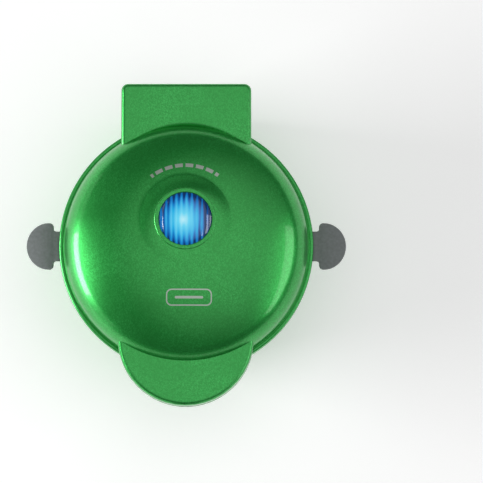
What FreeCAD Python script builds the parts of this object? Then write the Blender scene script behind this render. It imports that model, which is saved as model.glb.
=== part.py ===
import FreeCAD, Part
import math
import os
import Sketcher
from FreeCAD import Placement, Rotation, Vector

# A small electric ring-cake maker. +Z is up, -Y is the front with the handle, +Y is the rear with
# the hinge and X is the hinge's direction. The origin is on the table under the middle of the bowl.

os.makedirs("parts", exist_ok=True)
doc = FreeCAD.newDocument("RingCakeMaker")
sheet = doc.addObject("Spreadsheet::Sheet", "dims")


class Size:
    """A length in millimetres that also carries its formula in the sheet's cells."""

    def __init__(self, number, formula):
        self.number = float(number)
        self.formula = formula

    def _with(self, other, sign):
        other = other if isinstance(other, Size) else Size(other, repr(float(other)))
        number = {"+": self.number + other.number, "-": self.number - other.number,
                  "*": self.number * other.number, "/": self.number / (other.number or 1.0)}[sign]
        return Size(number, f"({self.formula} {sign} {other.formula})")

    def __add__(self, other):
        return self._with(other, "+")

    def __sub__(self, other):
        return self._with(other, "-")

    def __mul__(self, other):
        return self._with(other, "*")

    def __truediv__(self, other):
        return self._with(other, "/")

    def __rsub__(self, other):
        return Size(other, repr(float(other))) - self

    def __neg__(self):
        return self * -1.0

    __radd__ = __add__
    __rmul__ = __mul__


def number(value):
    return value.number if isinstance(value, Size) else float(value)


def bind(item, name, value):
    if isinstance(value, Size):
        item.setExpression(name, value.formula)


rows_used = 0


def size(alias, value):
    """A driving dimension: one named cell of the sheet."""
    global rows_used
    rows_used += 1
    sheet.set(f"A{rows_used}", alias)
    sheet.set(f"B{rows_used}", str(value))
    sheet.setAlias(f"B{rows_used}", alias)
    return Size(value, f"dims.{alias}")


# ---------------------------------------------------------------- driving dimensions
wall = size("wall", 2.2)
half_length = size("half_length", 81.2)
rim_radius = size("rim_radius", 64)
bowl_radius = size("bowl_radius", 61.5)
feet_height = size("feet_height", 2.5)
base_top = size("base_top", 50)
parting_gap = size("parting_gap", 1.0)
bead_height = size("bead_height", 3.0)
dome_rise = size("dome_rise", 29)
shoulder_radius = size("shoulder_radius", 17)
bowl_floor_radius = size("bowl_floor_radius", 52)
bowl_straight = size("bowl_straight", 36)
bowl_curve = size("bowl_curve", 64)

block_half_width = size("block_half_width", 32.75)
block_corner = size("block_corner", 3.5)
block_rise = size("block_rise", 12)
edge_round = size("edge_round", 2.4)
handle_radius = size("handle_radius", 34)
lower_handle_radius = size("lower_handle_radius", 31)
lower_handle_tip = size("lower_handle_tip", 75)
lower_handle_bottom = size("lower_handle_bottom", 39)
lower_block_half_width = size("lower_block_half_width", 30)
lower_block_rear = size("lower_block_rear", 73)
lower_block_top = size("lower_block_top", 34)

lens_centre = size("lens_centre", 9.6)
lens_radius = size("lens_radius", 12.9)
collar_radius = size("collar_radius", 14.8)
flare_radius = size("flare_radius", 19.8)
collar_top = size("collar_top", 84.2)
boss_underside = size("boss_underside", 76.4)

hinge_y = size("hinge_y", 70)
hinge_z = size("hinge_z", 52)
pin_radius = size("pin_radius", 2.0)
pin_clearance = size("pin_clearance", 0.05)
ear_inner = size("ear_inner", 14)
ear_outer = size("ear_outer", 23)
ear_radius = size("ear_radius", 7)
lug_gap = size("lug_gap", 0.4)
lug_radius = size("lug_radius", 6.5)

cup_radius = size("cup_radius", 54.4)
cup_floor = size("cup_floor", 18.2)
cup_wall = size("cup_wall", 2.2)
cup_flange_radius = size("cup_flange_radius", 58.7)
cup_flange_top = size("cup_flange_top", 47.9)
cup_flange_thick = size("cup_flange_thick", 1.7)
post_height = size("post_height", 22)
mould_play = size("mould_play", 0.3)
mould_wall = size("mould_wall", 1.8)
mould_thick = size("mould_thick", 2.5)
mould_brim_radius = size("mould_brim_radius", 58)
tab_half_neck = size("tab_half_neck", 7.5)
tab_half_head = size("tab_half_head", 12)
tab_reach = size("tab_reach", 80.5)
tab_shoulder = size("tab_shoulder", 66.8)
notch_half_width = size("notch_half_width", 8.2)

element_ring = size("element_ring", 32)
element_radius = size("element_radius", 3.2)
plate_radius = size("plate_radius", 58.6)
plate_bottom = size("plate_bottom", 51.3)
plate_thick = size("plate_thick", 2.4)
dish_rise = size("dish_rise", 3.0)
sheet_steel = size("sheet_steel", 0.6)
cover_radius = size("cover_radius", 50)
cover_thick = size("cover_thick", 2.2)
foot_radius = size("foot_radius", 6)
foot_circle = size("foot_circle", 41)
lead_radius = size("lead_radius", 1.2)

screw_shank = size("screw_shank", 1.2)
screw_head = size("screw_head", 2.4)
screw_clearance = size("screw_clearance", 1.4)
head_height = size("head_height", 1.2)
post_radius = size("post_radius", 3.2)
cold_pin_radius = size("cold_pin_radius", 1.6)
cold_pin_spread = size("cold_pin_spread", 7.6)
fuse_radius = size("fuse_radius", 1.9)
fuse_length = size("fuse_length", 12)
fuse_wire_radius = size("fuse_wire_radius", 0.6)
fuse_wire_length = size("fuse_wire_length", 22)
past = size("past", 1.0)
diagonals = (45, 135, 225, 315)
doc.recompute()

lid_bottom = base_top + parting_gap
bead_top = lid_bottom + bead_height
block_top = lid_bottom + block_rise
parts = {}


def keep(label, item):
    """Names an object of the document as a finished sub-part."""
    item.Label = label
    parts[label] = item
    return item


def place(item, x=0, y=0, z=0, turn=Rotation()):
    item.Placement = Placement(Vector(number(x), number(y), number(z)), turn)
    for axis, value in (("x", x), ("y", y), ("z", z)):
        bind(item, f"Placement.Base.{axis}", value)
    return item


def box(name, x, y, z):
    """A box between two values of each of x, y and z."""
    item = doc.addObject("Part::Box", name)
    for edge, (low, high) in (("Length", x), ("Width", y), ("Height", z)):
        extent = high - low
        setattr(item, edge, number(extent))
        bind(item, edge, extent)
    return place(item, x[0], y[0], z[0])


TURNS = {"X": Rotation(Vector(0, 1, 0), 90), "Y": Rotation(Vector(1, 0, 0), -90), "Z": Rotation()}


def rod(name, radius, length, axis, start):
    """A cylinder that begins at a point and runs along +X, +Y or +Z."""
    item = doc.addObject("Part::Cylinder", name)
    for key, value in (("Radius", radius), ("Height", length)):
        setattr(item, key, number(value))
        bind(item, key, value)
    return place(item, *start, TURNS[axis])


def fused(name, members):
    """One solid of several that overlap."""
    item = doc.addObject("Part::MultiFuse", name)
    item.Shapes = members
    return item


def cut(name, base, tools):
    """The base with every tool taken away."""
    item = doc.addObject("Part::Cut", name)
    item.Base = base
    item.Tool = tools[0] if len(tools) == 1 else fused(f"{name}_tools", tools)
    return item


def group(name, members):
    """Separate solids of one kind, kept together."""
    item = doc.addObject("Part::Compound", name)
    item.Links = members
    return item


def sketch(body, role, outline, height=0):
    """A closed outline on an origin plane. A point is (u, v), or (u, v, radius) where an arc starts;
    a plus radius bulges to the right of the direction of travel, a minus radius to the left."""
    item = body.newObject("Sketcher::SketchObject", f"{body.Name}_sketch")
    item.AttachmentSupport = [(next(f for f in body.Origin.OriginFeatures if f.Role == role), "")]
    item.MapMode = "FlatFace"
    item.AttachmentOffset = Placement(Vector(0, 0, number(height)), Rotation())
    bind(item, "AttachmentOffset.Base.z", height)
    for index, point in enumerate(outline):
        after = outline[(index + 1) % len(outline)]
        start = Vector(number(point[0]), number(point[1]), 0)
        end = Vector(number(after[0]), number(after[1]), 0)
        if len(point) == 2:
            item.addGeometry(Part.LineSegment(start, end), False)
            continue
        radius = number(point[2])
        chord = end - start
        sagitta = abs(radius) - math.sqrt(max(radius ** 2 - (chord.Length / 2) ** 2, 0))
        side = Vector(chord.y, -chord.x, 0).normalize() * math.copysign(sagitta, radius)
        ends = (start, end) if radius > 0 else (end, start)
        item.addGeometry(Part.Arc(ends[0], (start + end) / 2 + side, ends[1]), False)
    starts = [2 if len(point) == 3 and number(point[2]) < 0 else 1 for point in outline]
    for index, point in enumerate(outline):
        following = (index + 1) % len(outline)
        item.addConstraint(Sketcher.Constraint("Coincident", index, 3 - starts[index],
                                               following, starts[following]))
        for kind, value in (("DistanceX", point[0]), ("DistanceY", point[1])):
            if number(value) == 0:
                axis = -2 if kind == "DistanceX" else -1
                item.addConstraint(Sketcher.Constraint("PointOnObject", index, starts[index], axis))
                continue
            rule = item.addConstraint(
                Sketcher.Constraint(kind, -1, 1, index, starts[index], number(value)))
            bind(item, f"Constraints[{rule}]", value)
        if len(point) == 3:
            rule = item.addConstraint(Sketcher.Constraint("Radius", index, abs(number(point[2]))))
            size_of_arc = point[2] if number(point[2]) > 0 else -point[2]
            bind(item, f"Constraints[{rule}]", size_of_arc)
    return item


def turned(name, outline, x=0, y=0):
    """A body turned about a vertical axis from its outline of (radius, z) points."""
    body = doc.addObject("PartDesign::Body", name)
    profile = sketch(body, "XZ_Plane", outline)
    turn = body.newObject("PartDesign::Revolution", f"{name}_turn")
    turn.Profile = profile
    turn.ReferenceAxis = (profile, ["V_Axis"])
    turn.Angle = 360
    profile.Visibility = False
    return place(body, x, y)


def plate(name, outline, low, high, role="XY_Plane"):
    """A body of even thickness: low to high along z, or along x from a YZ outline."""
    body = doc.addObject("PartDesign::Body", name)
    profile = sketch(body, role, outline, low)
    pad = body.newObject("PartDesign::Pad", f"{name}_pad")
    pad.Profile = profile
    thickness = high - low
    pad.Length = number(thickness)
    bind(pad, "Length", thickness)
    return body


def rounded(body, radius, chosen):
    """Rounds the edges of a body that a test picks out."""
    doc.recompute()
    base = body.Tip
    names = [f"Edge{i + 1}" for i, edge in enumerate(base.Shape.Edges) if chosen(edge)]
    fillet = body.newObject("PartDesign::Fillet", f"{body.Name}_round_{len(body.Group)}")
    fillet.Base = (base, names)
    fillet.Radius = number(radius)
    bind(fillet, "Radius", radius)
    body.Tip = fillet
    return body


def ring(body, count, first=0):
    """Repeats a body's last feature round the z axis, starting at an angle in degrees."""
    doc.recompute()
    pattern = body.newObject("PartDesign::PolarPattern", f"{body.Name}_ring")
    pattern.Originals = [next(f for f in reversed(body.Group) if hasattr(f, "Profile"))]
    pattern.Axis = (next(f for f in body.Origin.OriginFeatures if f.Role == "Z_Axis"), [""])
    pattern.Angle = 360
    pattern.Occurrences = count
    body.Tip = pattern
    body.Placement = Placement(Vector(), Rotation(Vector(0, 0, 1), first))
    return body


def around(angle, radius):
    """The x and y of a point on a circle round the bowl's axis."""
    turn = math.radians(angle)
    return radius * math.cos(turn), radius * math.sin(turn)


def pegs(name, radius, circle, angles, low, high):
    """Equal upright rods on a circle."""
    return [rod(f"{name}_{i}", radius, high - low, "Z", (*around(a, circle), low))
            for i, a in enumerate(angles)]


def torus(name, ring_radius, tube_radius, height):
    item = doc.addObject("Part::Torus", name)
    for key, value in (("Radius1", ring_radius), ("Radius2", tube_radius)):
        setattr(item, key, number(value))
        bind(item, key, value)
    return place(item, 0, 0, height)


def dome(radius, rise, shoulder, foot):
    """Half of a dome's outline from its foot to its top: a tight shoulder arc, then a wide crown."""
    inner = radius - shoulder
    crown = (inner * inner + rise * rise - shoulder * shoulder) / (2.0 * (rise - shoulder))
    share = crown / (crown - shoulder)
    joint = (inner * share, foot + rise - crown + (crown - rise) * share)
    return [(radius, foot, shoulder), (*joint, crown), (0, foot + rise)]


def cap(radius, rise):
    """The radius of an arc that rises over a disc and is level at the middle."""
    return (radius * radius + rise * rise) / (rise * 2.0)


def tongue(half_width, tip, back):
    """A handle's plan: straight sides and a half-round front end that reaches y = -tip."""
    centre = half_width - tip
    return [(-half_width, centre, half_width), (0, -tip, half_width), (half_width, centre),
            (half_width, back), (-half_width, back)]


def upright(edge):
    return edge.BoundBox.ZLength > 1


def level_at(height):
    return lambda edge: edge.BoundBox.ZLength < 0.01 and abs(edge.BoundBox.ZMin - number(height)) < 0.01


# ---------------------------------------------------------------- lid cover
shell_dome = dome(bowl_radius, dome_rise, shoulder_radius, bead_top)
lid_skin = turned("lid_skin", [(0, lid_bottom), (rim_radius, lid_bottom), (rim_radius, bead_top),
                               *shell_dome])
lid_block = plate("lid_block", [(-block_half_width, 30), (block_half_width, 30),
                                (block_half_width, half_length), (-block_half_width, half_length)],
                  lid_bottom, block_top)
rounded(lid_block, block_corner, lambda e: upright(e) and e.BoundBox.YMin > 40)
rounded(lid_block, edge_round, lambda e: level_at(block_top)(e) and e.BoundBox.YMax > 31)
lid_handle = plate("lid_handle", tongue(handle_radius, half_length, -30), lid_bottom, block_top)
rounded(lid_handle, edge_round, lambda e: level_at(block_top)(e) and e.BoundBox.YMin < -31)
flare_foot = size("flare_foot", 81.4)
flare_sweep = size("flare_sweep", 7.0)
collar_edge = collar_top - 0.6
bore_radius = lens_radius + 0.1
lens_boss = turned("lens_boss", [
    (0, boss_underside), (flare_radius, boss_underside), (flare_radius, flare_foot, -flare_sweep),
    (collar_radius, collar_edge), (collar_radius - 0.5, collar_top), (lens_radius + 0.5, collar_top),
    (bore_radius, collar_edge), (0, collar_edge)], 0, lens_centre)
lid_outside = fused("lid_outside", [lid_skin, lid_block, lid_handle, lens_boss])

inner_dome = dome(bowl_radius - wall, dome_rise - wall, shoulder_radius - wall, bead_top)
lid_hollow = turned("lid_hollow", [(0, 40), (bowl_radius - wall, 40), *inner_dome])
block_inside = block_half_width - wall
lid_block_hollow = box("lid_block_hollow", (-block_inside, block_inside), (35, half_length - wall),
                       (40, block_top - wall))
lid_handle_hollow = plate("lid_handle_hollow", tongue(handle_radius - wall, half_length - wall, -35),
                          base_top - 5, block_top - wall)
seat_top = size("seat_top", 80)
lens_seat = turned("lens_seat", [(lens_radius, boss_underside), (flare_radius, boss_underside),
                                 (flare_radius, seat_top), (lens_radius, seat_top)], 0, lens_centre)
lens_bore = rod("lens_bore", bore_radius, 30, "Z", (0, lens_centre, 70))
bowl_core = rod("bowl_core", bowl_radius, 30, "Z", (0, 0, 38))
lid_handle_room = cut("lid_handle_room", lid_handle_hollow, [bowl_core])
lid_block_room = cut("lid_block_room", lid_block_hollow, [bowl_core])
lid_lead_slot = box("lid_lead_slot", (0, 8.5), (50, 64), (54.6, 60.4))
lid_shell = cut("lid_shell", lid_outside,
                [lid_hollow, lid_block_room, lid_handle_room, lid_lead_slot])

boss_height = size("boss_height", 9)
screw_circle = size("screw_circle", 54.6)
plate_top = plate_bottom + plate_thick
lid_posts = pegs("lid_post", post_radius, screw_circle, diagonals, plate_top + 0.1,
                 plate_top + boss_height)
lug_inner = ear_outer + lug_gap
lugs = []
for side in (-1, 1):
    near, far = (lug_inner, block_inside + 0.5) if side > 0 else (-block_inside - 0.5, -lug_inner)
    barrel = rod(f"lug_barrel_{side + 1}", lug_radius, far - near, "X", (near, hinge_y, hinge_z))
    web = box(f"lug_web_{side + 1}", (near, far), (hinge_y - lug_radius, hinge_y + lug_radius),
              (hinge_z, block_top - wall + 0.5))
    lugs += [barrel, web]
lid_whole = fused("lid_whole", [lid_shell, lens_seat, *lid_posts, *lugs])
pin_bore = rod("lug_bore", pin_radius + pin_clearance, 2 * block_inside - 0.2, "X",
               (0.1 - block_inside, hinge_y, hinge_z))
lid_screw_holes = pegs("lid_screw_hole", screw_shank, screw_circle, diagonals, plate_top,
                       plate_top + boss_height - 0.6)
keep("lid_cover", cut("lid_done", lid_whole, [pin_bore, lens_bore, *lid_screw_holes]))

# ---------------------------------------------------------------- base housing
base_wall = size("base_wall", 1.8)
base_skin = turned("base_skin", [
    (0, feet_height), (bowl_floor_radius, feet_height, bowl_curve), (bowl_radius, bowl_straight),
    (bowl_radius, base_top - bead_height), (rim_radius, base_top - bead_height),
    (rim_radius, base_top), (0, base_top)])
lower_handle = plate("lower_handle", tongue(lower_handle_radius, lower_handle_tip, -30),
                     lower_handle_bottom, base_top)
rounded(lower_handle, edge_round, lambda e: level_at(lower_handle_bottom)(e) and e.BoundBox.YMin < -31)
lower_block = plate("lower_block", [
    (-lower_block_half_width, 20), (lower_block_half_width, 20),
    (lower_block_half_width, lower_block_rear), (-lower_block_half_width, lower_block_rear)],
    feet_height, lower_block_top)
rounded(lower_block, block_corner, lambda e: upright(e) and e.BoundBox.YMin > 40)
rounded(lower_block, 2.0, lambda e: level_at(lower_block_top)(e) and e.BoundBox.YMax > 21)
base_outside = fused("base_outside", [base_skin, lower_handle, lower_block])

base_hollow = turned("base_hollow", [
    (0, feet_height - past), (bowl_floor_radius - base_wall, feet_height - past),
    (bowl_floor_radius - base_wall, feet_height, bowl_curve - base_wall),
    (bowl_radius - wall, bowl_straight), (bowl_radius - wall, base_top + past), (0, base_top + past)])
handle_hollow = plate("handle_hollow", tongue(lower_handle_radius - wall, lower_handle_tip - wall, -35),
                      lower_handle_bottom - past, base_top - wall)
handle_room = cut("handle_room", handle_hollow, [rod("base_core", bowl_radius, 20, "Z", (0, 0, 35))])
block_room = lower_block_half_width - wall
lower_block_hollow = box("lower_block_hollow", (-block_room, block_room), (25, lower_block_rear - wall),
                         (feet_height + wall, lower_block_top - wall))
gland_z = size("gland_z", 15)
gland_radius = size("gland_radius", 4.5)
gland_hole = rod("gland_hole", gland_radius + 0.05, 10, "Y", (0, lower_block_rear - 6, gland_z))
lead_hole = box("lead_hole", (-5, 5), (62, 67), (lower_block_top - 5, lower_block_top + 5))
notches = [box(f"tab_notch_{side + 1}", (side * 61 - 9, side * 61 + 9),
               (-notch_half_width, notch_half_width), (cup_flange_top - 0.2, base_top + past))
           for side in (-1, 1)]
base_shell = cut("base_shell", base_outside,
                 [base_hollow, handle_room, lower_block_hollow, gland_hole, lead_hole, *notches])

flange_low = cup_flange_top - cup_flange_thick
ledge = turned("ledge", [(bowl_radius - 4, flange_low - 2.4), (bowl_radius - 1, flange_low - 6),
                         (bowl_radius - 1, flange_low), (bowl_radius - 4, flange_low)])
cover_top = feet_height + cover_thick
reflector_z = size("reflector_z", 7.4)
cover_screw_circle = size("cover_screw_circle", 49)
cover_posts = pegs("cover_post", post_radius + 0.2, cover_screw_circle, diagonals,
                   cover_top + 0.05, cover_top + 10)
rib_count = 6
ribs = ring(plate("clamp_ribs", [(43, -1.2), (54.3, -1.2), (54.3, 1.2), (43, 1.2)],
                  reflector_z + sheet_steel, reflector_z + 6), rib_count)
ears = []
for side in (-1, 1):
    near, far = (ear_inner, ear_outer) if side > 0 else (-ear_outer, -ear_inner)
    barrel = rod(f"ear_barrel_{side + 1}", ear_radius, far - near, "X", (near, hinge_y, hinge_z))
    neck = plate(f"ear_neck_{side + 1}", [
        (56.3, 33), (61.5, 33), (63.4, 38.5), (hinge_y - 3, hinge_z - 6.2),
        (hinge_y - 4.9, hinge_z - 4.9), (hinge_y - 6.5, hinge_z - 1.6),
        (59.2, hinge_z - 2.0), (56.3, 44)], near, far, "YZ_Plane")
    ears += [barrel, neck]
base_whole = fused("base_whole", [base_shell, ledge, *cover_posts, ribs, *ears])
pin_holes = rod("pin_holes", pin_radius, 2 * ear_outer + 2, "X", (-ear_outer - 1, hinge_y, hinge_z))
cover_screw_holes = pegs("cover_screw_hole", screw_shank, cover_screw_circle, diagonals,
                         cover_top, cover_top + 8)
keep("base_housing", cut("base_done", base_whole, [pin_holes, *cover_screw_holes]))

pin_length = block_inside - 0.3 - ear_inner
keep("hinge_pins", group("hinge_pins", [
    rod("hinge_pin_right", pin_radius, pin_length, "X", (ear_inner, hinge_y, hinge_z)),
    rod("hinge_pin_left", pin_radius, pin_length, "X", (-ear_inner - pin_length, hinge_y, hinge_z))]))

# ---------------------------------------------------------------- bottom cover, feet and screws
cover_disc = turned("cover_disc", [(0, feet_height), (cover_radius, feet_height),
                                   (cover_radius, cover_top), (0, cover_top)])
under_cover, over_cover = feet_height - past, cover_top + past
vent_half_length = size("vent_half_length", 24)
vent_pitch = size("vent_pitch", 5)
vents = []
for row in range(-3, 4):
    half = vent_half_length - 2.2 * abs(row)
    middle = vent_pitch * row
    vents.append(box(f"vent_{row + 3}", (-half, half), (middle - 1, middle + 1),
                     (under_cover, over_cover)))
foot_angles = (22.5, 157.5, 202.5, 337.5)
plug_radius = size("plug_radius", 2.0)
foot_holes = pegs("foot_hole", plug_radius + 0.05, foot_circle, foot_angles, under_cover, over_cover)
shank_holes = pegs("shank_hole", screw_shank + 0.3, cover_screw_circle, diagonals,
                   under_cover, over_cover)
keep("base_bottom_cover", cut("cover_done", cover_disc, [*vents, *foot_holes, *shank_holes]))


def foot(name, x, y):
    """A rubber foot: a pad with a plug that snaps through the cover."""
    plug_top = cover_top + 1.6
    return turned(name, [(0, 0), (foot_radius - 0.8, 0), (foot_radius, 0.8), (foot_radius, feet_height),
                         (plug_radius, feet_height), (plug_radius, cover_top), (2.7, cover_top),
                         (1.6, plug_top), (0, plug_top)], x, y)


def screw(name, x, y, seat, length, upward=True):
    """A pan-head screw. Its head lies below the seat, or above it for one driven down."""
    way = 1 if upward else -1
    tip = seat + way * length
    head_edge = seat - way * head_height
    head_face = seat - way * (head_height + 0.3)
    outline = [(0, tip), (screw_shank, tip), (screw_shank, seat), (screw_head, seat),
               (screw_head, head_edge), (screw_head - 0.5, head_face), (0, head_face)]
    return turned(name, outline, x, y)


keep("feet", group("feet", [
    foot(f"foot_{i}", *around(a, foot_circle)) for i, a in enumerate(foot_angles)]))
keep("bottom_cover_screws", group("bottom_cover_screws", [
    screw(f"cover_screw_{i}", *around(a, cover_screw_circle), feet_height, 9)
    for i, a in enumerate(diagonals)]))

# ---------------------------------------------------------------- cast cup and silicone ring mould
cup_underside = cup_floor - cup_wall
cup_post_top = cup_floor + post_height
keep("lower_cup", turned("lower_cup", [
    (0, cup_underside), (43, cup_underside, 9), (50.6, cup_floor + 4.5),
    (cup_radius + cup_wall, flange_low), (cup_flange_radius, flange_low),
    (cup_flange_radius, cup_flange_top), (cup_radius, cup_flange_top), (48.6, cup_floor + 5, -7),
    (42, cup_floor), (9, cup_floor, -4), (5.2, cup_floor + 4), (4.2, cup_post_top - 1),
    (3.2, cup_post_top), (0, cup_post_top)]))
mould_low = cup_flange_top + mould_play
mould_top = mould_low + mould_thick
mould_floor = cup_floor + mould_play
post_top = cup_post_top + mould_play
cavity_floor = mould_floor + mould_wall
cavity_top = post_top + mould_wall
mould_ring = turned("mould_ring", [
    (9, mould_floor), (41.8, mould_floor, 7), (48.3, mould_floor + 4.9),
    (cup_radius - mould_play, mould_low), (mould_brim_radius, mould_low),
    (mould_brim_radius, mould_top), (cup_radius - 1.7, mould_top), (46.6, mould_floor + 6.4, -6.5),
    (40.6, cavity_floor), (11, cavity_floor, -4.5), (7.0, mould_floor + 5.5), (6.2, post_top + 0.6),
    (5, cavity_top), (0, cavity_top), (0, post_top), (3.4, post_top), (4.6, post_top - 1.2),
    (5.6, mould_floor + 4.2, 4.0)])
tab_corner = size("tab_corner", 3.0)
tab_bow = size("tab_bow", 11.9)
tabs = []
for side in (-1, 1):
    neck = box(f"tab_neck_{side + 1}", (side * 62 - 5.5, side * 62 + 5.5),
               (-tab_half_neck, tab_half_neck), (mould_low, mould_top))
    reach, root = side * tab_reach, side * tab_shoulder
    bulge = side * tab_bow
    head = plate(f"tab_head_{side + 1}", [
        (root, -tab_half_head + tab_corner), (root + side * tab_corner, -tab_half_head, bulge),
        (reach, 0, bulge), (root + side * tab_corner, tab_half_head), (root, tab_half_head - tab_corner)],
        mould_low, mould_top)
    tabs += [neck, head]
keep("ring_mould", fused("mould_done", [mould_ring, *tabs]))

# ---------------------------------------------------------------- lower heating parts
element_z = cup_underside - element_radius
lower_ring = torus("lower_ring", element_ring, element_radius, element_z)
gap_box = box("lower_ring_gap", (-6, 6), (20, 45), (element_z - 5, element_z + 5))
lower_cold_pins = [rod(f"lower_cold_pin_{side + 1}", cold_pin_radius, 14, "Y",
                       (side * cold_pin_spread, element_ring - 2, element_z)) for side in (-1, 1)]
lower_open_ring = cut("lower_open_ring", lower_ring, [gap_box])
keep("lower_heating_element", fused("lower_element_done", [lower_open_ring, *lower_cold_pins]))

clamp_angles = (150, 270, 30)


def strap(name, low, high, angle):
    """A short steel strip that lies across the ring element, pointing away from the middle."""
    near, far = element_ring - 9, element_ring + 6
    body = plate(name, [(near, -3.5), (far, -3.5), (far, 3.5), (near, 3.5)], low, high)
    body.Placement = Placement(Vector(), Rotation(Vector(0, 0, 1), angle))
    return body


strap_thick = size("strap_thick", 0.8)
strap_top = element_z - element_radius
keep("lower_element_clamps", group("lower_element_clamps", [
    strap(f"lower_strap_{i}", strap_top - strap_thick, strap_top, a)
    for i, a in enumerate(clamp_angles)]))
spacer_circle = size("spacer_circle", 22)
spacer_angles = (90, 210, 330)
reflector_top = reflector_z + sheet_steel
reflector_disc = turned("reflector_disc", [(9.5, reflector_z), (45, reflector_z), (45, reflector_top),
                                           (9.5, reflector_top)])
reflector_holes = pegs("reflector_hole", screw_clearance, spacer_circle, spacer_angles,
                       reflector_z - past, reflector_top + past)
keep("lower_reflector", cut("lower_reflector_done", reflector_disc, reflector_holes))


def spacer(name, angle, low, high):
    """A turned sleeve round a screw, between two heights."""
    outer = screw_clearance * 2
    return turned(name, [(screw_clearance, low), (outer, low), (outer, high), (screw_clearance, high)],
                  *around(angle, spacer_circle))


def fuse(name, axis, x, y, z):
    """A thermal fuse centred on a point: a small can with a stiff wire at each end."""
    pieces = []
    for part, radius, length in (("can", fuse_radius, fuse_length),
                                 ("wires", fuse_wire_radius, fuse_wire_length)):
        start = (x, y - length / 2, z) if axis == "Y" else (x - length / 2, y, z)
        pieces.append(rod(f"{name}_{part}", radius, length, axis, start))
    return fused(name, pieces)


keep("lower_spacers", group("lower_spacers", [
    spacer(f"lower_spacer_{i}", a, reflector_top, cup_underside) for i, a in enumerate(spacer_angles)]))
keep("lower_plate_screws", group("lower_plate_screws", [
    screw(f"lower_plate_screw_{i}", *around(a, spacer_circle), reflector_z, cup_underside - reflector_z)
    for i, a in enumerate(spacer_angles)]))
flange_drop = cup_underside - 4
thermostat_low = cup_underside - 9
keep("thermostat", turned("thermostat", [
    (0, cup_underside), (8, cup_underside), (8, flange_drop), (6.5, flange_drop),
    (6.5, thermostat_low), (0, thermostat_low)]))
fuse_x = size("fuse_x", 13)
keep("thermal_fuse", fuse("thermal_fuse_done", "Y", fuse_x, 0, cup_underside - fuse_radius))

# ---------------------------------------------------------------- mains side of the base
block_y = lower_block_rear - wall
terminal_low = feet_height + wall
terminal_y = block_y - 7
terminal_pitch = size("terminal_pitch", 9)
terminal_body = box("terminal_body", (terminal_pitch * -1.55, terminal_pitch * 1.55),
                    (terminal_y - 4, terminal_y + 4), (terminal_low, terminal_low + 5))
terminal_screws = [rod(f"terminal_screw_{i}", 1.5, 1.2, "Z", (terminal_pitch * i - terminal_pitch,
                                                              terminal_y, terminal_low + 4.8))
                   for i in range(3)]
keep("terminal_block", fused("terminal_done", [terminal_body, *terminal_screws]))
gland_bore_radius = size("gland_bore_radius", 3.0)
gland_lip = size("gland_lip", 1.2)
gland_inner = (0, block_y - gland_lip, gland_z)
gland_body = rod("gland_body", gland_radius, wall + gland_lip, "Y", gland_inner)
gland_flange = rod("gland_flange", gland_radius + 1.6, gland_lip, "Y", (0, lower_block_rear, gland_z))
gland_nut = rod("gland_nut", gland_radius + 1.2, gland_lip, "Y", gland_inner)
gland_bore = rod("gland_bore", gland_bore_radius, 12, "Y", (0, lower_block_rear - 6, gland_z))
gland_solid = fused("gland_solid", [gland_body, gland_flange, gland_nut])
keep("cord_gland", cut("gland_done", gland_solid, [gland_bore]))


def lead(name, points, radius):
    """A sleeved lead: straight runs joined by arcs, swept with a round section."""
    spots = [Vector(*[number(value) for value in point]) for point in points]
    edges = []
    here = spots[0]
    for before, corner, after in zip(spots, spots[1:], spots[2:]):
        into = (corner - before).normalize()
        out = (after - corner).normalize()
        reach = 0.45 * min(before.distanceToPoint(corner), corner.distanceToPoint(after))
        bend_start = corner - into * reach
        bend_end = corner + out * reach
        swing = into.getAngle(out)
        bend_radius = reach / math.tan(swing / 2)
        middle = corner + (out - into).normalize() * (bend_radius / math.cos(swing / 2) - bend_radius)
        edges.append(Part.LineSegment(here, bend_start).toShape())
        edges.append(Part.Arc(bend_start, middle, bend_end).toShape())
        here = bend_end
    edges.append(Part.LineSegment(here, spots[-1]).toShape())
    path = Part.Wire(edges)
    first = (spots[1] - spots[0]).normalize()
    ring_edge = Part.Circle(spots[0], first, number(radius)).toShape()
    item = doc.addObject("Part::Feature", name)
    item.Shape = path.makePipeShell([Part.Wire(ring_edge)], True, False)
    return item


rise_y = lower_block_rear - 8.5
keep("lower_leads", lead("lower_leads", [
    (-terminal_pitch, terminal_y, terminal_low + 7), (-terminal_pitch, terminal_y, 16),
    (-6, rise_y - 1.5, 24), (-3, rise_y, 33), (-3, 63.3, 41), (-8, hinge_y - 1.5, hinge_z - 3),
    (-5.5, hinge_y, hinge_z), (-0.2, hinge_y, hinge_z)], lead_radius))

# ---------------------------------------------------------------- upper plate and its heating parts
plate_dish_low = plate_bottom + dish_rise
plate_dish_top = plate_dish_low + plate_thick
upper_turn = turned("upper_turn", [
    (0, plate_bottom), (8, plate_bottom), (11, plate_dish_low), (47, plate_dish_low),
    (50.5, plate_bottom), (plate_radius, plate_bottom), (plate_radius, plate_top), (50.5, plate_top),
    (47, plate_dish_top), (0, plate_dish_top)])
head_seat = plate_bottom + 1.6
head_recesses = pegs("plate_head_hole", screw_head + 0.2, screw_circle, diagonals,
                     plate_bottom - past, head_seat)
plate_holes = pegs("plate_hole", screw_clearance, screw_circle, diagonals, plate_bottom, plate_top + past)
keep("upper_plate", cut("upper_plate_done", upper_turn, [*head_recesses, *plate_holes]))
keep("upper_plate_screws", group("upper_plate_screws", [
    screw(f"upper_plate_screw_{i}", *around(a, screw_circle), head_seat, 9)
    for i, a in enumerate(diagonals)]))
upper_z = plate_dish_top + element_radius
upper_ring = torus("upper_ring", element_ring, element_radius, upper_z)
upper_gap = box("upper_ring_gap", (-6, 6), (20, 45), (upper_z - 5, upper_z + 5))
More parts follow.
